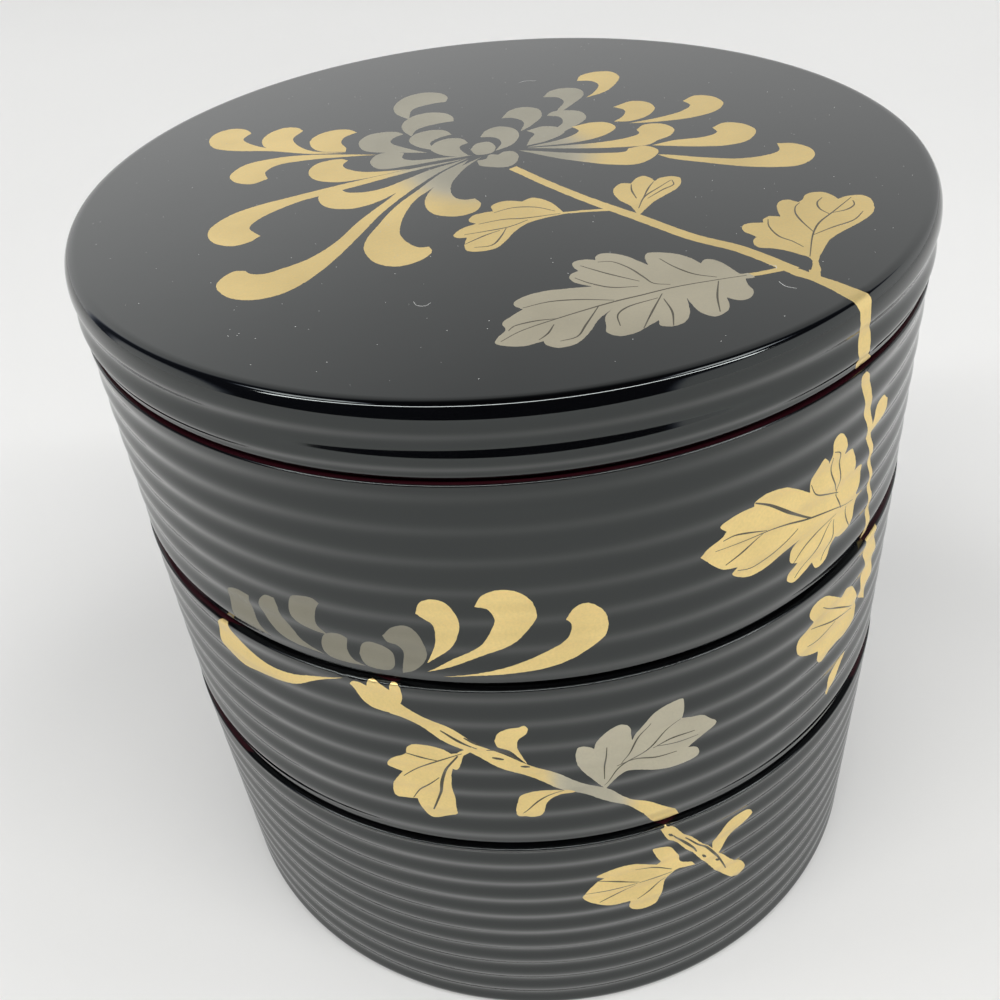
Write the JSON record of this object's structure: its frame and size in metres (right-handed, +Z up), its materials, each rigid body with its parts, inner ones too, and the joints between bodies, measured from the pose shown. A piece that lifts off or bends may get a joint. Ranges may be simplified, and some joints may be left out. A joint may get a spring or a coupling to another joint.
{
  "type": "tiered stacking box",
  "caption": "Round stacking box with ribbed black lacquer tiers and a flat lid, painted with a gold and silver chrysanthemum spray.",
  "frame": {"origin": "centre of the underside of the bottom tier, on the surface that the box stands on", "axes": "+Z up along the axis of the tiers; -Y towards the side that the picture shows, with the end of the painted stem; +X to its right"},
  "size_m": [0.196, 0.196, 0.196],
  "materials": {
    "black_lacquer": "polished black lacquer"
  },
  "bodies": {
    "root": {"lid": "black_lacquer", "upper_tier": "black_lacquer", "middle_tier": "black_lacquer", "bottom_tier": "black_lacquer"}
  },
  "joints": []
}
